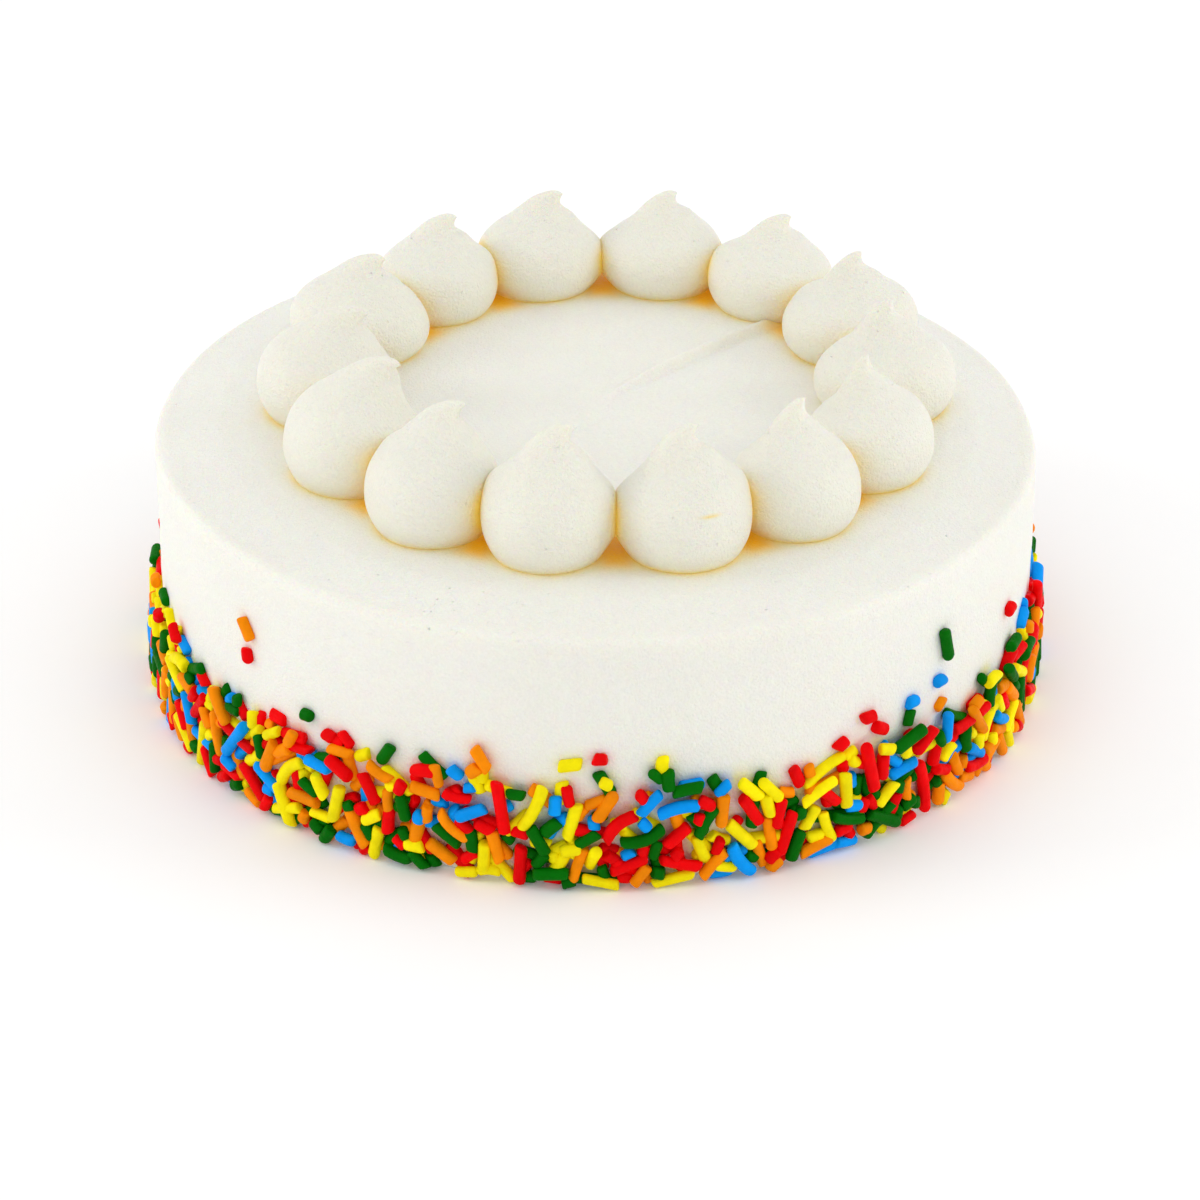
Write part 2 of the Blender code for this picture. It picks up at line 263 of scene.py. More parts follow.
def noise_node(tree, coordinates, scale, detail=3.0, roughness=0.5):
    node = add_node(tree, "ShaderNodeTexNoise")
    node.inputs["Scale"].default_value = scale
    node.inputs["Detail"].default_value = detail
    node.inputs["Roughness"].default_value = roughness
    tree.links.new(coordinates, node.inputs["Vector"])
    return node


def map_range(tree, value, from_low, from_high, to_low, to_high):
    node = add_node(tree, "ShaderNodeMapRange")
    node.inputs["From Min"].default_value = from_low
    node.inputs["From Max"].default_value = from_high
    node.inputs["To Min"].default_value = to_low
    node.inputs["To Max"].default_value = to_high
    tree.links.new(value, node.inputs["Value"])
    return node.outputs["Result"]


def bump_node(tree, height, distance, strength, before=None):
    node = add_node(tree, "ShaderNodeBump")
    node.inputs["Distance"].default_value = distance
    node.inputs["Strength"].default_value = strength
    tree.links.new(height, node.inputs["Height"])
    if before is not None:
        tree.links.new(before, node.inputs["Normal"])
    return node.outputs["Normal"]


def frosting_material(name, grain, pits, gloss, roughness):
    """Soft frosting: a fine grain, tiny pits, light that goes a few millimetres in, painted shade in its
    colours and a painted glow.
    """
    material = bpy.data.materials.new(name)
    material.use_nodes = True
    tree = material.node_tree
    shader = tree.nodes["Principled BSDF"]
    place = add_node(tree, "ShaderNodeTexCoord").outputs["Object"]
    # The Tint colours hold the frosting's own colour with painted warm shade in it.
    tint = add_node(tree, "ShaderNodeVertexColor", layer_name="Tint")
    cloud = noise_node(tree, place, 60.0, 4.0)
    shade = map_range(tree, cloud.outputs["Fac"], 0.3, 0.7, 0.975, 1.0)
    fine = noise_node(tree, place, 2300.0, 2.0, 0.6)
    speckle = map_range(tree, fine.outputs["Fac"], 0.25, 0.75, 0.965, 1.03)
    both = add_node(tree, "ShaderNodeMath", operation="MULTIPLY")
    tree.links.new(shade, both.inputs[0])
    tree.links.new(speckle, both.inputs[1])
    mix = add_node(tree, "ShaderNodeVectorMath", operation="SCALE")
    tree.links.new(tint.outputs["Color"], mix.inputs[0])
    tree.links.new(both.outputs["Value"], mix.inputs["Scale"])
    tree.links.new(mix.outputs["Vector"], shader.inputs["Base Color"])
    # Painted glow: a colour for each point that the frosting emits as light.
    painted_glow = add_node(tree, "ShaderNodeVertexColor", layer_name="PaintedGlow")
    tree.links.new(painted_glow.outputs["Color"], shader.inputs["Emission Color"])
    shader.inputs["Emission Strength"].default_value = 1.0
    coarse = noise_node(tree, place, 480.0, 3.0)
    holes = add_node(tree, "ShaderNodeTexVoronoi", feature="F1")
    holes.inputs["Scale"].default_value = 420.0
    tree.links.new(place, holes.inputs["Vector"])
    pit = map_range(tree, holes.outputs["Distance"], 0.04, 0.16, 0.0, 1.0)
    normal = bump_node(tree, coarse.outputs["Fac"], 0.28 * MM, grain)
    normal = bump_node(tree, fine.outputs["Fac"], 0.34 * MM, grain, normal)
    normal = bump_node(tree, pit, 0.06 * MM, pits, normal)
    tree.links.new(normal, shader.inputs["Normal"])
    rough = map_range(tree, coarse.outputs["Fac"], 0.3, 0.7, roughness - 0.07, roughness + 0.07)
    tree.links.new(rough, shader.inputs["Roughness"])
    shader.inputs["Specular IOR Level"].default_value = gloss
    shader.inputs["Subsurface Weight"].default_value = 0.5
    shader.inputs["Subsurface Radius"].default_value = (1.0, 0.62, 0.22)
    shader.inputs["Subsurface Scale"].default_value = 2.6 * MM
    material.cycles.emission_sampling = "NONE"
    return material


def sprinkle_material(name):
    """Sugar sprinkle: hard, nearly matt and a little uneven."""
    material = bpy.data.materials.new(name)
    material.use_nodes = True
    tree = material.node_tree
    shader = tree.nodes["Principled BSDF"]
    place = add_node(tree, "ShaderNodeTexCoord").outputs["Object"]
    tint = add_node(tree, "ShaderNodeVertexColor", layer_name="Tint")
    cloud = noise_node(tree, place, 500.0, 3.0)
    shade = map_range(tree, cloud.outputs["Fac"], 0.3, 0.7, 0.9, 1.05)
    mix = add_node(tree, "ShaderNodeVectorMath", operation="SCALE")
    tree.links.new(tint.outputs["Color"], mix.inputs[0])
    tree.links.new(shade, mix.inputs["Scale"])
    tree.links.new(mix.outputs["Vector"], shader.inputs["Base Color"])
    uneven = noise_node(tree, place, 900.0, 2.0)
    fine = noise_node(tree, place, 3200.0, 2.0)
    normal = bump_node(tree, uneven.outputs["Fac"], 0.25 * MM, 0.7)
    normal = bump_node(tree, fine.outputs["Fac"], 0.06 * MM, 0.6, normal)
    tree.links.new(normal, shader.inputs["Normal"])
    rough = map_range(tree, uneven.outputs["Fac"], 0.3, 0.7, 0.36, 0.56)
    tree.links.new(rough, shader.inputs["Roughness"])
    shader.inputs["Specular IOR Level"].default_value = 0.05
    return material


def floor_material():
    material = bpy.data.materials.new("floor")
    material.use_nodes = True
    tree = material.node_tree
    shader = tree.nodes["Principled BSDF"]
    place = add_node(tree, "ShaderNodeTexCoord").outputs["Object"]
    cloud = noise_node(tree, place, 8.0)
    ramp = map_range(tree, cloud.outputs["Fac"], 0.3, 0.7, 0.97, 0.99)
    tree.links.new(ramp, shader.inputs["Base Color"])
    shader.inputs["Roughness"].default_value = 0.9
    shader.inputs["Emission Color"].default_value = (1.0, 1.0, 1.0, 1.0)
    shader.inputs["Emission Strength"].default_value = 0.05
    material.cycles.emission_sampling = "NONE"
    return material


# Swirls.

FROSTING = np.array((0.93, 0.92, 0.845))
CREAM = np.array((0.90, 0.886, 0.785))
# Warm colours for the painted shade and the painted glow in the crevices, along the seams and at the
# swirls' feet.
AMBER = np.array((1.0, 0.50, 0.01))
GOLDEN = np.array((1.0, 0.70, 0.10))
HONEY = np.array((1.0, 0.76, 0.22))
# Painted glow, emitted by the frosting where it is thin and shaded, between two swirls and at their feet,
# standing in for light that comes through it.
GLOW_BETWEEN = 0.11
GLOW_SEAM = 0.11
GLOW_FOOT = 0.17
GLOW_LINE = 0.12
# A short scratch on the second swirl's front, its shade painted golden.
SCRATCHED_SWIRL = 1
SCRATCH_SHADE_STRENGTH = 0.85
SCRATCH_PLACE = (18.7 * MM, -59.8 * MM, 59.4 * MM)
SCRATCH_SIZE = (1.3 * MM, 4.0 * MM, 0.26 * MM)
# How strong the painted warm shade at a foot or a seam is and how far it reaches in mm, then the wider
# painted shade.
FOOT_LINE = (0.80, 0.45)
FOOT_WARMTH = (0.14, 2.2)
FOOT_LINE_TOP = 0.45
SEAM_LINE = (0.80, 0.70)
SEAM_WARMTH = (0.20, 2.0)
SEAM_FADES = (0.36, 0.58)
TOP_LINE = (0.55, 0.7)
TOP_WARMTH = (0.08, 2.4)
# The radius of a swirl's foot as a share of its belly's.
FOOT_RADIUS = 0.84
# The painted warm shade between two swirls fades where the gaps to both add up to this, in mm.
WEDGE_REACH = 3.8
FAR_AWAY = 99.0
SWIRL_ROWS = 90
SWIRL_COLUMNS = 72
SPINE_STEPS = 160
# The rows are closer together near the foot, and the last one is just short of the tip.
LAST_ROW = 0.995
ROW_POWER = 1.25
SWIRL_SINK = 0.5 * MM
SINK_FADES = 3.0 * MM
# How much thinner and how uneven a swirl is, as shares of its radius.
SWIRL_INSET = 0.012
SWIRL_UNEVEN = 0.010
SWIRL_SEED = 300
# Swirls press against each other: each bulges towards its neighbours and is cut just past the middle.
PRESSED = 0.15
PRESSED_SPREAD = math.radians(17)
PRESSED_UNTIL = (0.44, 0.70)
PRESSED_FROM = (0.03, 0.24)
TOUCH_OVERLAP = 0.58 * MM
TOUCH_SOFTNESS = 0.75 * MM
# The peak was pulled sideways: it is longer towards -X and thinner across.
PEAK_FROM = (0.50, 0.85)
PEAK_LONGER = 0.20
PEAK_THINNER = 0.24
# It also leans a little to the right and to the back, and stands a little higher than in the solids.
RIGHT_FROM = (0.35, 0.75)
BACK_FROM = (0.50, 1.0)
PEAK_RIGHT = 0.8 * MM
PEAK_BACK = 1.6 * MM
PEAK_HIGHER = 0.24 * MM
# The tip is a thin lip: how much thinner it gets on its upper side and on its underside.
LIP_ABOVE = 0.16
LIP_BELOW = 0.24


def top_height(x):
    return EDGE_HEIGHT + SHOULDER_RISE + TOP_RISE - TOP_TILT * x


def swirl_spine(height, lean, neck):
    """Where a swirl's middle runs: up, leaning more and more towards +X, with the tip bent over."""
    tip_turn = TIP_TURN * (1.0 - 0.5 * neck)
    share = np.arange(SPINE_STEPS + 1) / SPINE_STEPS
    bend = np.clip((share - CURL_START) / (1.0 - CURL_START), 0.0, None)
    turn = tip_turn * bend ** CURL_POWER + 2.0 * lean / height * share
    turn[0] = 0.0
    along = np.append(0.0, np.cumsum(np.sin(turn[1:]))) * height / SPINE_STEPS
    up = np.append(0.0, np.cumsum(np.cos(turn[1:]))) * height / SPINE_STEPS
    return share, along, up * height / up.max(), turn


def outline_radius(share, neck):
    """A smooth curve through the outline's points, for each share of a swirl's height."""
    places = np.array([row[0] for row in SWIRL_OUTLINE] + [1.0])
    radii = np.array([(1 - neck) * row[1] + neck * row[2] for row in SWIRL_OUTLINE] + [0.0])
    slopes = np.gradient(radii, places)
    slopes[0] = FOOT_SLOPE
    index = np.clip(np.searchsorted(places, share, side="right") - 1, 0, len(places) - 2)
    step = places[index + 1] - places[index]
    t = (share - places[index]) / step
    h00 = 2 * t ** 3 - 3 * t ** 2 + 1
    h10 = t ** 3 - 2 * t ** 2 + t
    h01 = -2 * t ** 3 + 3 * t ** 2
    h11 = t ** 3 - t ** 2
    return (h00 * radii[index] + h10 * step * slopes[index]
            + h01 * radii[index + 1] + h11 * step * slopes[index + 1])


def neighbour_room(number):
    """Half the angle between a swirl and each neighbour, towards +angle and -angle."""
    here = SWIRLS[number].angle
    after = SWIRLS[(number + 1) % len(SWIRLS)].angle
    before = SWIRLS[number - 1].angle
    return 0.5 * math.radians((after - here) % 360.0), 0.5 * math.radians((here - before) % 360.0)


def soft_limit(value, limit, softness):
    """Keeps a value under its limit with a rounded corner."""
    return value - softness * np.logaddexp(0.0, (value - limit) / softness)


def ring_directions(degrees):
    """The directions out of the ring of swirls and along it, at an angle."""
    angle = math.radians(degrees)
    outward = np.array((math.cos(angle), math.sin(angle), 0.0))
    return outward, np.array((-outward[1], outward[0], 0.0))


def faded(line, distance):
    """A strength that fades with the distance, from a pair of strength and reach."""
    strength, reach = line
    return strength * np.exp(-distance / reach)


def swirl_sections(number, share):
    """A swirl's outline round its middle line at each share of its height, before it bends."""
    row = SWIRLS[number]
    outward, sideways = ring_directions(row.angle)
    around = np.linspace(0.0, 2.0 * math.pi, SWIRL_COLUMNS, endpoint=False)
    plus, minus = neighbour_room(number)
    bulge = np.zeros(SWIRL_COLUMNS)
    for towards in (0.5 * math.pi + plus, -0.5 * math.pi - minus):
        turned = (around - towards + math.pi) % (2.0 * math.pi) - math.pi
        bulge += np.exp(-(turned / PRESSED_SPREAD) ** 2)
    pressed = PRESSED * smooth_step(*PRESSED_FROM, share) * (1.0 - smooth_step(*PRESSED_UNTIL, share))
    wide = (np.cos(around)[None, :, None] * outward * row.inout
            + np.sin(around)[None, :, None] * sideways * row.across)
    radius = outline_radius(share, row.neck)
    wide = wide * radius[:, None, None] * (1.0 + pressed[:, None, None] * bulge[None, :, None]) * MM
    peak = smooth_step(*PEAK_FROM, share)[:, None]
    wide[..., 0] *= 1.0 + PEAK_LONGER * peak * (wide[..., 0] < 0.0)
    wide[..., 1] *= 1.0 - PEAK_THINNER * peak
    curl = smooth_step(CURL_START, CURL_FULL, share)[:, None]
    wide[..., 0] *= 1.0 - curl * np.where(wide[..., 0] > 0.0, LIP_BELOW, LIP_ABOVE)
    spots = np.repeat(share, SWIRL_COLUMNS)[:, None] * np.array((0, 0, 1.0))
    spots[:, 0] = np.tile(np.cos(around), SWIRL_ROWS)
    spots[:, 1] = np.tile(np.sin(around), SWIRL_ROWS)
    uneven = smooth_field(spots, SWIRL_SEED + number, 1.3, 4.0).reshape(SWIRL_ROWS, SWIRL_COLUMNS)
    return wide * (1.0 - SWIRL_INSET - SWIRL_UNEVEN * uneven[..., None])


def press_together(number, points):
    """Cuts a swirl off softly between it and its neighbours, and tells how near that is in mm."""
    plus, minus = neighbour_room(number)
    outward, sideways = ring_directions(SWIRLS[number].angle)
    from_centre = points - np.array(RING_CENTRE)
    out = from_centre @ outward
    side = from_centre @ sideways
    limit = out * np.where(side > 0.0, math.tan(plus), math.tan(minus))
    kept = soft_limit(np.abs(side), limit + TOUCH_OVERLAP, TOUCH_SOFTNESS)
    touch = np.clip((limit - kept) / MM, 0.0, None)
    return points + sideways * (np.sign(side) * (kept - np.abs(side)))[:, None], touch


def swirl_points(number):
    """A swirl's points, and for those of its rows the share, the height and the distance to a neighbour."""
    row = SWIRLS[number]
    height = row.height * MM
    foot = np.array(RING_CENTRE) + ring_directions(row.angle)[0] * row.ring * MM
    share = LAST_ROW * np.linspace(0.0, 1.0, SWIRL_ROWS) ** ROW_POWER
    stations, along, up, turn = swirl_spine(height, row.lean * MM, row.neck)
    mid_x = np.interp(share, stations, along) + PEAK_RIGHT * smooth_step(*RIGHT_FROM, share)
    mid_y = PEAK_BACK * smooth_step(*BACK_FROM, share)
    mid_z = np.interp(share, stations, up)
    turned = np.interp(share, stations, turn)[:, None]
    wide = swirl_sections(number, share)
    points = np.empty(wide.shape)
    points[..., 0] = foot[0] + mid_x[:, None] + wide[..., 0] * np.cos(turned)
    points[..., 1] = foot[1] + mid_y[:, None] + wide[..., 1]
    points[..., 2] = mid_z[:, None] - wide[..., 0] * np.sin(turned)
    points, touch = press_together(number, points.reshape(-1, 3))
    settle = (height + PEAK_HIGHER) / points[:, 2].max()
    level = points[:, 2] * settle
    sink = SWIRL_SINK * (1.0 - smooth_step(0.0, SINK_FADES, level))
    points[:, 2] = level + top_height(points[:, 0]) - sink
    tip = points[-SWIRL_COLUMNS:].mean(axis=0)
    bottom = points[:SWIRL_COLUMNS].mean(axis=0)
    return np.concatenate([points, [bottom, tip]]), np.repeat(share, SWIRL_COLUMNS), level, touch


def swirl_colours(number, points, share, level, touch):
    """The colour of each point of a swirl, with painted warm shade at its foot, along its seams and in its
    scratch, and the painted glow there.
    """
    level = np.clip(level, 0.0, None) / MM
    foot_shade = faded(FOOT_LINE, np.clip(level - FOOT_LINE_TOP, 0.0, None)) + faded(FOOT_WARMTH, level)
    seam_shade = faded(SEAM_LINE, touch) + faded(SEAM_WARMTH, touch)
    seam_shade *= 1.0 - smooth_step(*SEAM_FADES, share)
    foot_shade = np.append(foot_shade, [1.0, 0.0])[:, None]
    seam_shade = np.append(seam_shade, [1.0, 0.0])[:, None]
    # Painted warm shade at the foot and along the seams with the neighbours.
    tint = CREAM * (1.0 - foot_shade) + HONEY * foot_shade
    tint = tint * (1.0 - seam_shade) + GOLDEN * seam_shade
    if number == SCRATCHED_SWIRL:
        offset = (points - np.array(SCRATCH_PLACE)) / np.array(SCRATCH_SIZE)
        # The scratch's painted golden shade.
        scratch_shade = SCRATCH_SHADE_STRENGTH * np.exp(-(offset ** 2).sum(axis=1))[:, None]
        tint = tint * (1.0 - scratch_shade) + GOLDEN * scratch_shade
    return tint, GOLDEN * (GLOW_SEAM * seam_shade ** 2 + GLOW_FOOT * foot_shade ** 2)


def make_swirl(number, material):
    """One piped swirl, pressed against its neighbours, with its tip bent over."""
    points, share, level, touch = swirl_points(number)
    count = SWIRL_ROWS * SWIRL_COLUMNS
    faces = [
        ring_faces(SWIRL_ROWS, SWIRL_COLUMNS)[:, ::-1],
        fan_faces(count, 0, SWIRL_COLUMNS, False),
        fan_faces(count + 1, count - SWIRL_COLUMNS, SWIRL_COLUMNS, True),
    ]
    made = mesh_object(f"swirl_{number + 1:02d}", points, faces, material)
    tint, painted_glow = swirl_colours(number, points, share, level, touch)
    set_colours(made, "Tint", tint)
    set_colours(made, "PaintedGlow", painted_glow)
    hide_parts(f"dollop_{number + 1:02d}")
    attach(made, "root")
    return made


# Small bubbles in the frosting.

BUBBLES_A_SWIRL = 30
BUBBLES_ON_BODY = 200
BUBBLE_SIZES = (0.10 * MM, 0.19 * MM)
BUBBLE_OUT = 0.15
# How far a bubble moves off its vertex, in mm.
BUBBLE_SHIFT = 0.2
BUBBLE_SIDES = 8
BUBBLE_RINGS = (-0.6, -0.1, 0.4, 0.8)
BUBBLE_BRIGHTER = 1.09
# The bubbles on the body are on the outer part of its top, and some lie close together at the front.
BUBBLE_REACH = (60.0 * MM, 77.2 * MM)
LOWEST_BUBBLE = EDGE_HEIGHT - 1.5 * MM
BUBBLE_CLUSTER = Vector((-20.0 * MM, -74.0 * MM, 0.0))
CLUSTER_REACH = 11.0 * MM
CLUSTER_SHARE = 0.15


def dome(centre, normal, size):
    """A small ball that stands a little out of the surface."""
    side = normal.orthogonal().normalized()
    other = normal.cross(side)
    rows = []
    for lift in BUBBLE_RINGS:
        ring = math.sqrt(1.0 - lift * lift) * size
        for step in range(BUBBLE_SIDES):
            turn = 2.0 * math.pi * step / BUBBLE_SIDES
            around = side * math.cos(turn) + other * math.sin(turn)
            rows.append(centre + normal * lift * size + around * ring)
    return rows + [centre - normal * size, centre + normal * size]


def bubbles_on(surface, chosen, draw):
    """The points and the colours of bubbles at the chosen vertices of a surface."""
    tints = surface.data.color_attributes["Tint"].data
    points = []
    colours = []
    for index in chosen:
        vertex = surface.data.vertices[index]
        size = BUBBLE_SIZES[0] + (BUBBLE_SIZES[1] - BUBBLE_SIZES[0]) * draw.random() ** 2
        shift = vertex.normal.cross(Vector((draw.uniform(-1, 1), draw.uniform(-1, 1), draw.uniform(-1, 1))))
        inward = vertex.normal * size * (1.0 - BUBBLE_OUT) * draw.uniform(0.4, 1.0)
        centre = vertex.co + shift * BUBBLE_SHIFT * MM - inward
        points += dome(centre, vertex.normal, size)
        # A bubble takes the colour of its vertex, painted shade included, a little lighter.
        colour = [min(1.0, BUBBLE_BRIGHTER * value) for value in tints[index].color[:3]]
        colours += [colour] * (len(BUBBLE_RINGS) * BUBBLE_SIDES + 2)
    return points, colours


def bubbles_on_swirl(number, swirl):
    draw = random.Random(f"bubbles {number}")
    count = len(swirl.data.vertices)
    chosen = draw.sample(range(SWIRL_COLUMNS * 4, count - SWIRL_COLUMNS * 8), BUBBLES_A_SWIRL)
    return bubbles_on(swirl, chosen, draw)


def bubbles_on_body(body):
    draw = random.Random("bubbles on the body")
    ring = []
    cluster = []
    for vertex in body.data.vertices:
        flat = Vector((vertex.co.x, vertex.co.y, 0.0))
        if vertex.co.z > LOWEST_BUBBLE and BUBBLE_REACH[0] < flat.length < BUBBLE_REACH[1]:
            ring.append(vertex.index)
            if (flat - BUBBLE_CLUSTER).length < CLUSTER_REACH:
                cluster.append(vertex.index)
    in_cluster = int(CLUSTER_SHARE * BUBBLES_ON_BODY)
    chosen = draw.sample(ring, BUBBLES_ON_BODY - in_cluster) + draw.sample(cluster, in_cluster)
    return bubbles_on(body, chosen, draw)


def make_bubbles(groups, material):
    """All the bubbles as one mesh, from a list of their points and colours."""
    points = np.array([tuple(point) for group in groups for point in group[0]])
    colours = np.array([colour for group in groups for colour in group[1]])
    faces = []
    rings = len(BUBBLE_RINGS) * BUBBLE_SIDES
    for first in range(0, len(points), rings + 2):
        faces.append(ring_faces(len(BUBBLE_RINGS), BUBBLE_SIDES, first))
        faces.append(fan_faces(first + rings, first, BUBBLE_SIDES, False))
        faces.append(fan_faces(first + rings + 1, first + rings - BUBBLE_SIDES, BUBBLE_SIDES, True))
    made = mesh_object("frosting_bubbles", points, faces, material)
    set_colours(made, "Tint", colours)
    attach(made, "root")


# Sprinkles.

def band_edge(angle):
    """How high the band of sprinkles reaches at an angle."""
    wave = math.sin(3.0 * angle + 0.6) + 0.6 * math.sin(7.0 * angle + 2.0) + 0.5 * math.sin(13.0 * angle)
    return BAND_TOP + 0.5 * BAND_WAVE * wave


def band_share(angle, height):
    """How full the first layer is at an angle and a height: 1 low down, 0 above its edge."""
    top = band_edge(angle)
    return min(1.0, max(0.0, (top - height) / (top - BAND_FULL))) ** 1.3


def second_share(angle, height):
    """How full the second layer is at an angle and a height."""
    top = band_edge(angle) + SECOND_RISE
    return min(1.0, max(0.0, (top - height) / (top - SECOND_FULL))) ** 1.4


def ends_on_wall(sprinkle):
    """Both ends of a sprinkle's middle line on the unrolled side, as (distance round, height)."""
    half = 0.5 * max(0.0, sprinkle.length - sprinkle.thick)
    around = math.cos(sprinkle.turn) * half
    up = math.sin(sprinkle.turn) * half
    middle = sprinkle.angle * CAKE_RADIUS
    return (middle - around, sprinkle.height - up), (middle + around, sprinkle.height + up)


def gap_between(one, other):
    """The least distance between two middle lines on the unrolled side."""
    def nearest(point, start, end):
        run = (end[0] - start[0], end[1] - start[1])
        length = run[0] ** 2 + run[1] ** 2
        share = 0.0
        if length > 0.0:
            share = ((point[0] - start[0]) * run[0] + (point[1] - start[1]) * run[1]) / length
        share = min(1.0, max(0.0, share))
        return math.hypot(point[0] - start[0] - share * run[0], point[1] - start[1] - share * run[1])

    a, b = ends_on_wall(one)
    c, d = ends_on_wall(other)
    turn = 2.0 * math.pi * CAKE_RADIUS
    shift = turn * round((a[0] - c[0]) / turn)
    c = (c[0] + shift, c[1])
    d = (d[0] + shift, d[1])
    return min(nearest(a, c, d), nearest(b, c, d), nearest(c, a, b), nearest(d, a, b))


def furthest_sprinkles():
    """Four sprinkles that stand out the furthest, one on each side, with one end in the side."""
    colours = {-90: "yellow", 0: "red", 90: "green", 180: "orange"}
    stand = REACH - CAKE_RADIUS - 0.5 * THICKNESS - 0.5 * (END_LENGTH - THICKNESS) * math.sin(END_TILT)
    return [Sprinkle(math.radians(angle), END_HEIGHT, END_TURN, END_LENGTH, THICKNESS, stand, END_TILT,
                     colour) for angle, colour in colours.items()]


def first_layer():
    """The sprinkles that touch the side: the strays, then the band, the longest ones first."""
    draw = random.Random(SEED)
    placed = furthest_sprinkles()
    for angle, height, turn, length, colour in STRAYS:
        placed.append(Sprinkle(math.radians(angle), height * MM, math.radians(turn), length * MM,
                               THICKNESS, 0.35 * MM, 0.0, colour))
    for typical, tries in TRIES.items():
        for _ in range(tries):
            length = typical * draw.uniform(0.93, 1.07) * MM
            thick = THICKNESS * draw.uniform(0.88, 1.08)
            turn = draw.uniform(0.0, math.pi)
            lowest = 0.5 * thick + 0.5 * (length - thick) * abs(math.sin(turn)) + 0.1 * MM
            height = lowest + (BAND_TOP + BAND_WAVE - lowest) * draw.random() ** 1.4
            angle = draw.uniform(0.0, 2.0 * math.pi)
            stand = draw.uniform(0.2, 0.9) * MM
            tilt = math.radians(draw.uniform(-10.0, 10.0))
            colour = draw.choices(COLOURS, COLOUR_SHARES)[0]
            chance = draw.random()
            fresh = Sprinkle(angle, height, turn, length, thick, stand, tilt, colour)
            if chance > band_share(angle, height + 0.3 * length * abs(math.sin(turn))):
                continue
            if all(gap_between(fresh, other) > CLOSEST * (thick + other.thick) for other in placed):
                placed.append(fresh)
    return placed


def second_layer(below):
    """Sprinkles pressed in between and over those of the first layer, as far out as they have to be."""
    draw = random.Random(SECOND_SEED)
    placed = list(below)
    chosen = [lift_over(sprinkle, below) for sprinkle in chosen_sprinkles()]
    placed += chosen
    for typical, tries in SECOND_TRIES.items():
        for _ in range(tries):
            length = typical * draw.uniform(0.9, 1.1) * MM
            thick = THICKNESS * draw.uniform(0.85, 1.08)
            turn = draw.uniform(0.0, math.pi)
            lowest = 0.5 * thick + 0.5 * (length - thick) * abs(math.sin(turn)) + 0.15 * MM
            height = lowest + (BAND_TOP + SECOND_RISE + BAND_WAVE - lowest) * draw.random() ** 1.15
            angle = draw.uniform(0.0, 2.0 * math.pi)
            stand = draw.uniform(0.0, 0.7) * MM
            colour = draw.choices(COLOURS, COLOUR_SHARES)[0]
            chance = draw.random()
            fresh = Sprinkle(angle, height, turn, length, thick, stand, 0.0, colour)
            if chance > second_share(angle, height + 0.3 * length * abs(math.sin(turn))):
                continue
            if any(gap_between(fresh, other) < CHOSEN_CLEAR * (thick + other.thick) for other in chosen):
                continue
            near = [other for other in placed
                    if round_distance(fresh, other) < 0.5 * (length + other.length)]
            outer = [other for other in near if other.stand > SECOND_STANDS_OUT]
            if any(gap_between(fresh, other) < SECOND_CLOSEST * (thick + other.thick) for other in outer):
                continue
            lifted = lift_over(fresh, near)
            if lifted.stand + 0.5 * thick < FURTHEST_STAND:
                placed.append(lifted)
    return placed[len(below):]


def round_distance(one, other):
    """How far apart the middles of two sprinkles are, along the side."""
    return abs((one.angle - other.angle + math.pi) % (2.0 * math.pi) - math.pi) * CAKE_RADIUS


def lift_over(sprinkle, others):
    """The sprinkle moved out until it only sinks a little way in between the others."""
    stand = sprinkle.stand
    for other in others:
        clear = 0.5 * SECOND_SINK * (sprinkle.thick + other.thick)
        gap = gap_between(sprinkle, other)
        if gap < clear:
            stand = max(stand, other.stand + math.sqrt(clear ** 2 - gap ** 2))
    return sprinkle._replace(stand=min(stand, FURTHEST_STAND - 0.5 * sprinkle.thick))


def chosen_sprinkles():
    return [Sprinkle(math.radians(angle), height * MM, math.radians(turn), length * MM, THICKNESS, 0.4 * MM,
                     0.0, colour, bow) for angle, height, turn, length, bow, colour in CHOSEN]


def sprinkle_matrix(sprinkle):
    """Places a sprinkle that lies along its own Z on the side, its middle line just outside it."""
    outward = Vector((math.cos(sprinkle.angle), math.sin(sprinkle.angle), 0.0))
    sideways = Vector((-outward.y, outward.x, 0.0))
    along = sideways * math.cos(sprinkle.turn) + Vector((0.0, 0.0, 1.0)) * math.sin(sprinkle.turn)
    across = along.cross(outward)
    lifted = along * math.cos(sprinkle.tilt) + outward * math.sin(sprinkle.tilt)
    centre = outward * (CAKE_RADIUS + sprinkle.stand)
    centre.z = sprinkle.height
    return Matrix.Translation(centre) @ Matrix((across.cross(lifted), across, lifted)).transposed().to_4x4()


ROD_SIDES = 14
# A rod's end: how far in from the end, and the radius there, both as shares of its thickness.
ROD_END = [(0.0, 0.26), (0.025, 0.36), (0.08, 0.435), (0.17, 0.482), (0.30, 0.50)]
# An end is often cut at a slant: the most that one edge is longer, as a share of the radius.
ROD_SLANT = 0.42
DYES = {
    "red": (0.90, 0.0005, 0.002),
    "yellow": (1.0, 0.86, 0.002),
    "green": (0.0002, 0.14, 0.001),
    "orange": (1.0, 0.28, 0.0005),
    "blue": (0.002, 0.33, 0.95),
}


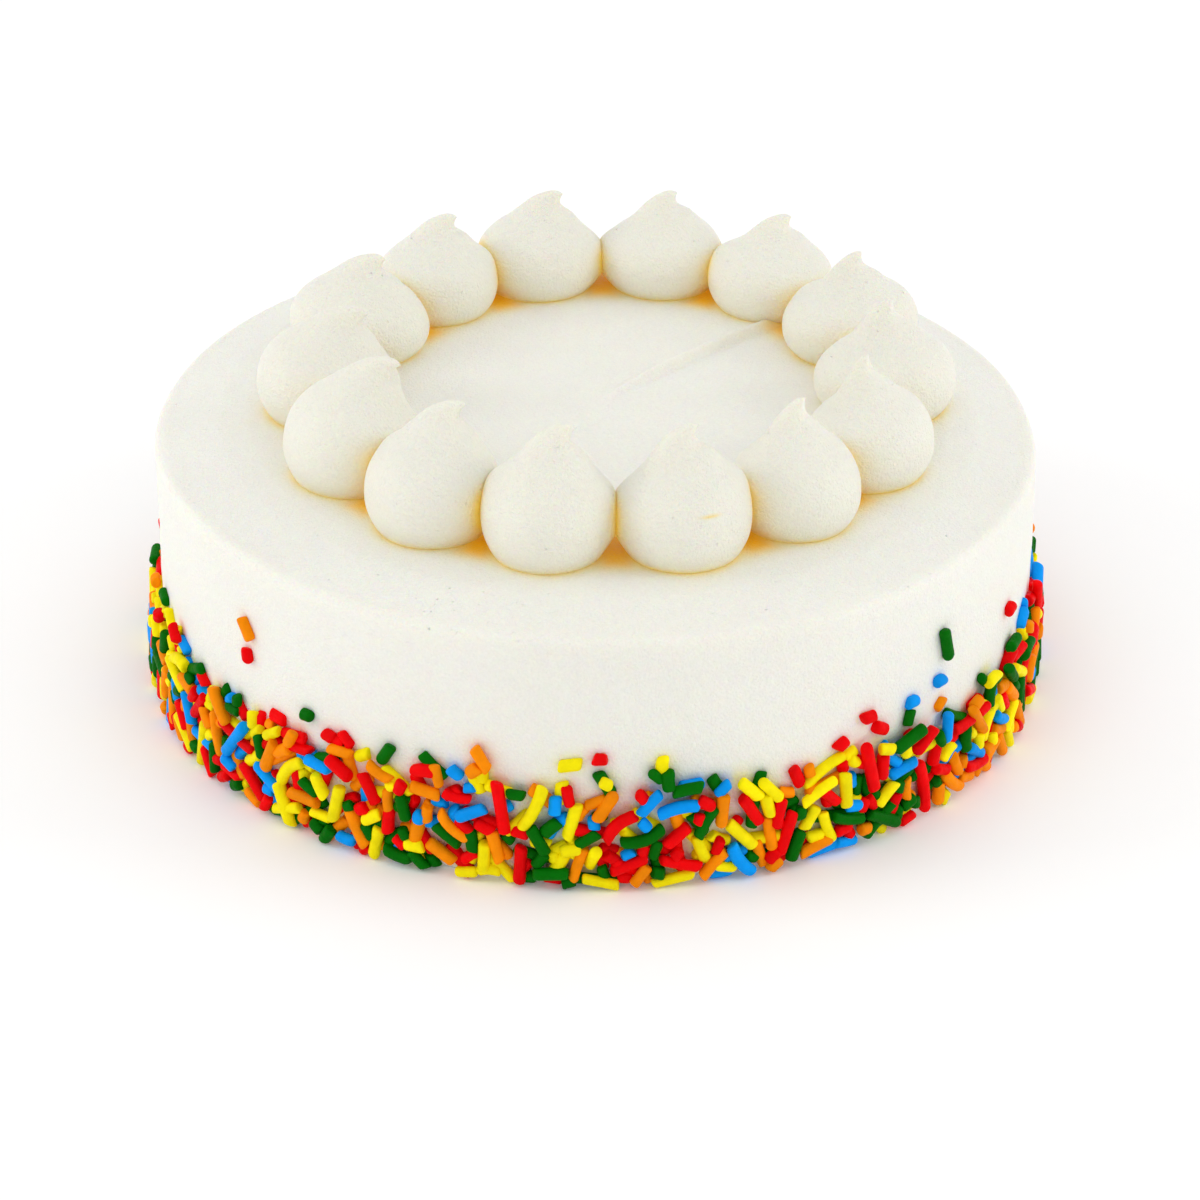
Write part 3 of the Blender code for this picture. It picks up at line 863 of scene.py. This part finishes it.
def rod_points(sprinkle, draw):
    """The points of one sprinkle: rings along its length and a point at each end."""
    thick = sprinkle.thick
    half = 0.5 * max(sprinkle.length, 1.02 * thick)
    ends = [(-half + inset * thick, radius * thick) for inset, radius in ROD_END]
    middle = [(z, 0.5 * thick) for z in np.linspace(ends[-1][0], -ends[-1][0], 5)[1:-1]]
    stations = ends + middle + [(-z, radius) for z, radius in reversed(ends)]
    around = np.linspace(0.0, 2.0 * math.pi, ROD_SIDES, endpoint=False)
    bow = draw.choice((0.0, 0.0, 0.0, 0.3, 0.5, 0.8)) * draw.uniform(0.3, 1.0) * 0.14 * sprinkle.length
    if sprinkle.bow is not None:
        bow = -sprinkle.bow * sprinkle.length
    slants = [draw.uniform(-ROD_SLANT, ROD_SLANT) for _ in range(4)]
    flat = draw.uniform(0.93, 1.0)
    taper = draw.uniform(-0.05, 0.05)
    swell = draw.uniform(-0.05, 0.03)
    points = []
    for z, radius in stations:
        place = z / half
        bent = bow * (place ** 2 - 0.4)
        size = radius * (1.0 + taper * place + swell * (1.0 - place ** 2))
        across = np.cos(around) * size * flat
        along = np.sin(around) * size
        slant_x, slant_y = slants[:2] if place < 0.0 else slants[2:]
        level = z + abs(place) ** 3 * (slant_x * across + slant_y * along)
        points.append(np.stack([across, along + bent, level], -1))
    tips = np.array([(0.0, bow * 0.6, -half), (0.0, bow * 0.6, half)])
    local = np.concatenate(points + [tips])
    matrix = np.array(sprinkle_matrix(sprinkle))
    return local @ matrix[:3, :3].T + matrix[:3, 3], len(stations)


def make_sprinkles(colour, sprinkles, material):
    """All the sprinkles of one colour as one mesh."""
    draw = random.Random(f"rods {colour}")
    points = []
    faces = []
    tints = []
    first = 0
    for sprinkle in sprinkles:
        rod, rings = rod_points(sprinkle, draw)
        body = rings * ROD_SIDES
        faces.append(ring_faces(rings, ROD_SIDES, first)[:, ::-1])
        faces.append(fan_faces(first + body, first, ROD_SIDES, False))
        faces.append(fan_faces(first + body + 1, first + body - ROD_SIDES, ROD_SIDES, True))
        points.append(rod)
        shade = draw.uniform(0.88, 1.06)
        tints.append(np.tile(np.array(DYES[colour]) * shade, (len(rod), 1)))
        first += len(rod)
    made = mesh_object(f"sprinkles_{colour}", keep_in_reach(np.concatenate(points)), faces, material)
    set_colours(made, "Tint", np.concatenate(tints))
    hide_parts("cake")
    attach(made, "root")
    return made


def keep_in_reach(points):
    """No sprinkle stands out past the solids or below the surface the cake stands on."""
    low, high = Vector(CAD_BOX[0]), Vector(CAD_BOX[1])
    points[:, 0] = np.clip(points[:, 0], low.x, high.x)
    points[:, 1] = np.clip(points[:, 1], low.y, high.y)
    points[:, 2] = np.clip(points[:, 2], 0.02 * MM, None)
    return points


# The frosted body.

CAKE_COLUMNS = 512
TOP_STEP = 0.74 * MM
EDGE_STEP = 0.42 * MM
SIDE_STEP = 0.72 * MM
FINE_STEP = 0.05 * MM
# How many fine steps the corners of the half outline are rounded over, to each side.
ROUNDED_OVER = 16
BEAD_RISE = 0.16 * MM
BEAD_INSET = 1.6 * MM
BEAD_WIDTH = 0.9 * MM
SIDE_INSET = 0.12 * MM
# Low random marks: a seed, the shortest and longest wave, and how high they are.
Marks = namedtuple("Marks", "seed shortest longest height")
TOP_BROAD = Marks(11, 14.0 * MM, 50.0 * MM, 0.05 * MM)
TOP_STROKES = Marks(12, 2.5 * MM, 10.0 * MM, 0.012 * MM)
SIDE_BANDS = Marks(21, 4.0 * MM, 16.0 * MM, 0.035 * MM)
SIDE_STREAKS = Marks(22, 1.5 * MM, 6.0 * MM, 0.010 * MM)
SIDE_BROAD = Marks(23, 20.0 * MM, 70.0 * MM, 0.08 * MM)
STROKE_ANGLE = math.radians(28)
STROKE_SQUEEZE = 0.12
STREAK_SQUEEZE = 0.05
BAND_SPREAD = 6.0 * MM
# The dye that bleeds out of a sprinkle into the frosting.
HALO_STRENGTH = 0.30
HALO_MOST = 0.80
HALO_REACH = 0.7 * MM
HALO_TOP = 40.0 * MM
HALO_DYE = 0.75
CREASE_START = (7.6 * MM, 11.5 * MM)
CREASE_END = (33.5 * MM, 37.0 * MM)
CREASE_BOW = 0.5 * MM
CREASE_WIDTH = 0.9 * MM
CREASE_HEIGHT = 1.70 * MM


def cake_half_outline():
    """The half outline from the middle of the top to the foot, as in the solids, with finer steps."""
    top = EDGE_HEIGHT + SHOULDER_RISE + TOP_RISE
    inner = CAKE_RADIUS - SHOULDER_WIDTH
    corners = np.array([
        (0.0, top),
        (inner - 5.0 * MM, top),
        (inner, EDGE_HEIGHT + SHOULDER_RISE),
        (CAKE_RADIUS - 2.0 * MM, EDGE_HEIGHT + 0.3 * MM),
        (CAKE_RADIUS - 0.7 * MM, EDGE_HEIGHT),
        (CAKE_RADIUS - 0.1 * MM, EDGE_HEIGHT - 0.7 * MM),
        (CAKE_RADIUS, EDGE_HEIGHT - 2.0 * MM),
        (CAKE_RADIUS, FOOT_ROUND),
        (CAKE_RADIUS - FOOT_ROUND, 0.0),
    ])
    lengths = np.append(0.0, np.cumsum(np.hypot(*np.diff(corners, axis=0).T)))
    steps = np.concatenate([
        np.arange(1.0 * MM, inner - 6.0 * MM, TOP_STEP),
        np.arange(inner - 6.0 * MM, lengths[6], EDGE_STEP),
        np.arange(lengths[6], lengths[7], SIDE_STEP),
        np.linspace(lengths[7], lengths[8], 5),
    ])
    fine = np.arange(0.0, lengths[-1], FINE_STEP)
    outline = np.stack([np.interp(fine, lengths, corners[:, k]) for k in (0, 1)], axis=-1)
    window = np.hanning(2 * ROUNDED_OVER + 1)
    window /= window.sum()
    padded = np.pad(outline, ((ROUNDED_OVER, ROUNDED_OVER), (0, 0)), mode="reflect", reflect_type="odd")
    smooth = np.stack([np.convolve(padded[:, k], window, mode="valid") for k in (0, 1)], axis=-1)
    radius = np.interp(steps, fine, smooth[:, 0])
    height = np.interp(steps, fine, smooth[:, 1])
    return radius, np.maximum(height, 0.0)


def marks(points, kind):
    """Low random marks of one kind at each point, in metres."""
    return smooth_field(points, kind.seed, kind.shortest, kind.longest) * kind.height


def top_marks(points):
    """Low marks that the spatula left on the top, in metres."""
    flat = points * np.array((1.0, 1.0, 0.0))
    return marks(flat, TOP_BROAD) + marks(flat @ stroke_frame(), TOP_STROKES) + crease(points)


def crease(points):
    """The curved ridge where the last stroke of the spatula ended, right of the middle of the top."""
    start = np.array(CREASE_START)
    run = np.array(CREASE_END) - start
    length = np.hypot(*run)
    run /= length
    offset = points[:, :2] - start
    along = offset @ run / length
    bow = CREASE_BOW * 4.0 * along * (1.0 - along)
    across = offset @ np.array((-run[1], run[0])) - bow
    fade = smooth_step(-0.45, 0.25, along) * (1.0 - smooth_step(1.0, 1.25, along))
    ridge = np.exp(-(across / CREASE_WIDTH) ** 2)
    step = smooth_step(-2.5 * CREASE_WIDTH, 0.0, across) * np.exp(-np.clip(across, 0.0, None) / (5.0 * MM))
    return fade * CREASE_HEIGHT * (0.55 * ridge + 0.45 * step)


def stroke_frame():
    """Squeezes the plane across the spatula's strokes, which run from the left front to the right back."""
    cosine, sine = math.cos(STROKE_ANGLE), math.sin(STROKE_ANGLE)
    turn = np.array(((cosine, -sine, 0), (sine, cosine, 0), (0, 0, 1)))
    return turn @ np.diag((STROKE_SQUEEZE, 1.0, 1.0))


def side_marks(angle, height):
    """How far the scraped side stands in or out, in metres: level bands and faint upright streaks."""
    around = np.stack([np.cos(angle), np.sin(angle)], axis=-1)
    bands = np.concatenate([around * BAND_SPREAD, height[:, None]], axis=1)
    streaks = np.concatenate([around * CAKE_RADIUS, height[:, None] * STREAK_SQUEEZE], axis=1)
    broad = np.concatenate([around * CAKE_RADIUS, height[:, None]], axis=1)
    return marks(bands, SIDE_BANDS) + marks(streaks, SIDE_STREAKS) + marks(broad, SIDE_BROAD)


def swirl_feet_painted_shade(points):
    """The painted warm shade on the top by the swirls' feet: a thin line, and a wedge between two
    neighbours.
    """
    line = np.zeros(len(points))
    first = np.full(len(points), FAR_AWAY)
    second = np.full(len(points), FAR_AWAY)
    for row in SWIRLS:
        outward, sideways = ring_directions(row.angle)
        offset = points - (np.array(RING_CENTRE) + outward * row.ring * MM)
        out = offset @ outward / (row.inout * MM)
        side = offset @ sideways / (row.across * MM)
        size = 0.5 * (row.inout + row.across)
        from_foot = np.clip((np.hypot(out, side) - FOOT_RADIUS) * size, 0.0, None)
        from_belly = np.clip((np.hypot(out, side) - 1.0) * size, 0.0, None)
        line = np.maximum(line, faded(TOP_LINE, from_foot) + faded(TOP_WARMTH, from_foot))
        second = np.minimum(second, np.maximum(first, from_belly))
        first = np.minimum(first, from_belly)
    return line, np.exp(-((first + second) / WEDGE_REACH) ** 2)


def dye_halos(points, angle, sprinkles):
    """The weight and the colour of the dye that has bled into the frosting by the sprinkles."""
    weight = np.zeros(len(points))
    share_of_nearest = np.zeros(len(points))
    colour = np.zeros((len(points), 3))
    place = np.stack([angle * CAKE_RADIUS, points[:, 2]], axis=-1)
    turn = 2.0 * math.pi * CAKE_RADIUS
    where = np.nonzero(points[:, 2] < HALO_TOP)[0]
    for sprinkle in sprinkles:
        (ax, ay), (bx, by) = ends_on_wall(sprinkle)
        offset = place[where] - (ax, ay)
        offset[:, 0] = (offset[:, 0] + turn / 2) % turn - turn / 2
        run = np.array((bx - ax, by - ay))
        length = max(run @ run, 1e-12)
        share = np.clip(offset @ run / length, 0.0, 1.0)
        gap = np.hypot(*(offset - share[:, None] * run).T) - 0.5 * sprinkle.thick
        near = np.exp(-np.clip(gap, 0.0, None) / HALO_REACH)
        near[near < 0.01] = 0.0
        weight[where] += HALO_STRENGTH * near
        colour[where] += near[:, None] ** 3 * np.array(DYES[sprinkle.colour])
        share_of_nearest[where] += near ** 3
    colour /= np.maximum(share_of_nearest, 1e-9)[:, None]
    return np.clip(weight, 0.0, HALO_MOST)[:, None], colour


def body_points(radius, height):
    """The frosted cake's points and their angles, ring by ring from the middle of the top."""
    angle = np.tile(np.linspace(0.0, 2.0 * math.pi, CAKE_COLUMNS, endpoint=False), len(radius))
    outward = np.stack([np.cos(angle), np.sin(angle), np.zeros_like(angle)], axis=-1)
    points = outward * np.repeat(radius, CAKE_COLUMNS)[:, None]
    points[:, 2] = np.repeat(height, CAKE_COLUMNS)
    level = points[:, 2].copy()
    reach = np.hypot(points[:, 0], points[:, 1])
    on_side = smooth_step(CAKE_RADIUS - 1.2 * MM, CAKE_RADIUS - 0.2 * MM, reach)
    on_side *= smooth_step(0.0, 3.0 * MM, level)
    on_top = smooth_step(EDGE_HEIGHT - 0.5 * MM, EDGE_HEIGHT + 0.5 * MM, level)
    points += outward * ((side_marks(angle, level) - SIDE_INSET) * on_side)[:, None]
    bead = np.exp(-((reach - (CAKE_RADIUS - BEAD_INSET)) / BEAD_WIDTH) ** 2) * BEAD_RISE
    points[:, 2] += on_top * (top_marks(points) + bead)
    points[:, 2] -= TOP_TILT * points[:, 0] * np.clip(level / EDGE_HEIGHT, 0.0, 1.0)
    centre = (0.0, 0.0, points[:CAKE_COLUMNS, 2].mean())
    return np.concatenate([points, [centre, (0.0, 0.0, 0.0)]]), np.append(angle, [0.0, 0.0])


def body_colours(points, angle, sprinkles):
    """The colour of each point of the frosted cake, with painted warm shade by the swirls' feet and between
    them, and the painted glow there.
    """
    above = (points[:, 2] > EDGE_HEIGHT)[:, None]
    line, wedge = swirl_feet_painted_shade(points * np.array((1.0, 1.0, 0.0)))
    line = line[:, None] * above
    wedge = wedge[:, None] * above
    # Painted warm shade by the swirls' feet and in the wedges between them.
    tint = FROSTING * (1.0 - line) + HONEY * line
    spread = 1.0 - (1.0 - wedge) ** 2
    tint = tint * (1.0 - spread) + (HONEY * (1.0 - wedge) + AMBER * wedge) * spread
    halo, dye = dye_halos(points, angle, sprinkles)
    tint = tint * (1.0 - halo) + ((1.0 - HALO_DYE) * tint + HALO_DYE * dye) * halo
    return tint, AMBER * GLOW_BETWEEN * wedge ** 2 + GOLDEN * GLOW_LINE * line ** 2


def make_body(sprinkles, material):
    radius, height = cake_half_outline()
    points, angle = body_points(radius, height)
    count = len(radius) * CAKE_COLUMNS
    faces = [
        ring_faces(len(radius), CAKE_COLUMNS),
        fan_faces(count, 0, CAKE_COLUMNS, True),
        fan_faces(count + 1, count - CAKE_COLUMNS, CAKE_COLUMNS, False),
    ]
    made = mesh_object("frosted_cake", points, faces, material)
    tint, painted_glow = body_colours(points, angle, sprinkles)
    set_colours(made, "Tint", tint)
    set_colours(made, "PaintedGlow", painted_glow)
    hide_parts("cake")
    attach(made, "root")
    return made


# The camera, the light and the floor.

WORLD_STRENGTH = 0.88
SOFTBOX_SIZE = 0.4
LEFT_SOFTBOX = ((-0.85, -0.06, 0.47), 1.6)
RIGHT_SOFTBOX = ((0.85, -0.06, 0.47), 1.45)
LIGHT_AIM = Vector((0.0, 0.0, 0.03))
FLOOR_REACH = 4.0


def make_camera():
    data = bpy.data.cameras.new("camera")
    data.sensor_width = SENSOR
    data.lens = FOCAL_PIXELS / IMAGE_SIZE * SENSOR
    data.clip_start = 0.01
    camera = bpy.data.objects.new("camera", data)
    bpy.context.scene.collection.objects.link(camera)
    pitch = Matrix.Rotation(math.radians(90) - CAMERA_PITCH, 4, "X")
    camera.matrix_world = Matrix.Translation(CAMERA_PLACE) @ pitch @ Matrix.Rotation(CAMERA_ROLL, 4, "Z")
    bpy.context.scene.camera = camera


def add_softbox(name, place, power):
    """A square soft white light that faces the cake."""
    data = bpy.data.lights.new(name, "AREA")
    data.shape = "SQUARE"
    data.size = SOFTBOX_SIZE
    data.energy = power
    data.color = (1.0, 1.0, 1.0)
    light = bpy.data.objects.new(name, data)
    bpy.context.scene.collection.objects.link(light)
    light.location = place
    aim = LIGHT_AIM - Vector(place)
    light.rotation_euler = aim.to_track_quat("-Z", "Y").to_euler()


def make_light():
    world = bpy.data.worlds.new("studio")
    world.use_nodes = True
    background = world.node_tree.nodes["Background"]
    background.inputs["Color"].default_value = (1.0, 1.0, 1.0, 1.0)
    background.inputs["Strength"].default_value = WORLD_STRENGTH
    bpy.context.scene.world = world
    add_softbox("left_softbox", *LEFT_SOFTBOX)
    add_softbox("right_softbox", *RIGHT_SOFTBOX)


def make_floor():
    corners = np.array([(-1.0, -1.0, 0.0), (1.0, -1.0, 0.0), (1.0, 1.0, 0.0), (-1.0, 1.0, 0.0)])
    faces = [np.array([[0, 1, 2, 3]])]
    floor = mesh_object("floor", corners * FLOOR_REACH, faces, floor_material(), smooth=False)


def make_light_look_plain():
    """Colours come out as they are, with nothing toned down."""
    view = bpy.context.scene.view_settings
    view.view_transform = "Standard"
    view.look = "None"
    view.exposure = 0.0
    view.gamma = 1.0


def main():
    make_light_look_plain()
    make_camera()
    make_light()
    make_floor()
    low_layer = first_layer()
    sprinkles = low_layer + second_layer(low_layer)
    frosting = frosting_material("frosting", grain=0.8, pits=0.3, gloss=0.45, roughness=0.50)
    bubbles = [bubbles_on_body(make_body(sprinkles, frosting))]
    cream = frosting_material("piped_frosting", grain=1.0, pits=0.6, gloss=0.75, roughness=0.40)
    for number in range(len(SWIRLS)):
        bubbles.append(bubbles_on_swirl(number, make_swirl(number, cream)))
    make_bubbles(bubbles, frosting)
    for colour in COLOURS:
        chosen = [sprinkle for sprinkle in sprinkles if sprinkle.colour == colour]
        make_sprinkles(colour, chosen, sprinkle_material(f"sprinkle_{colour}"))


main()
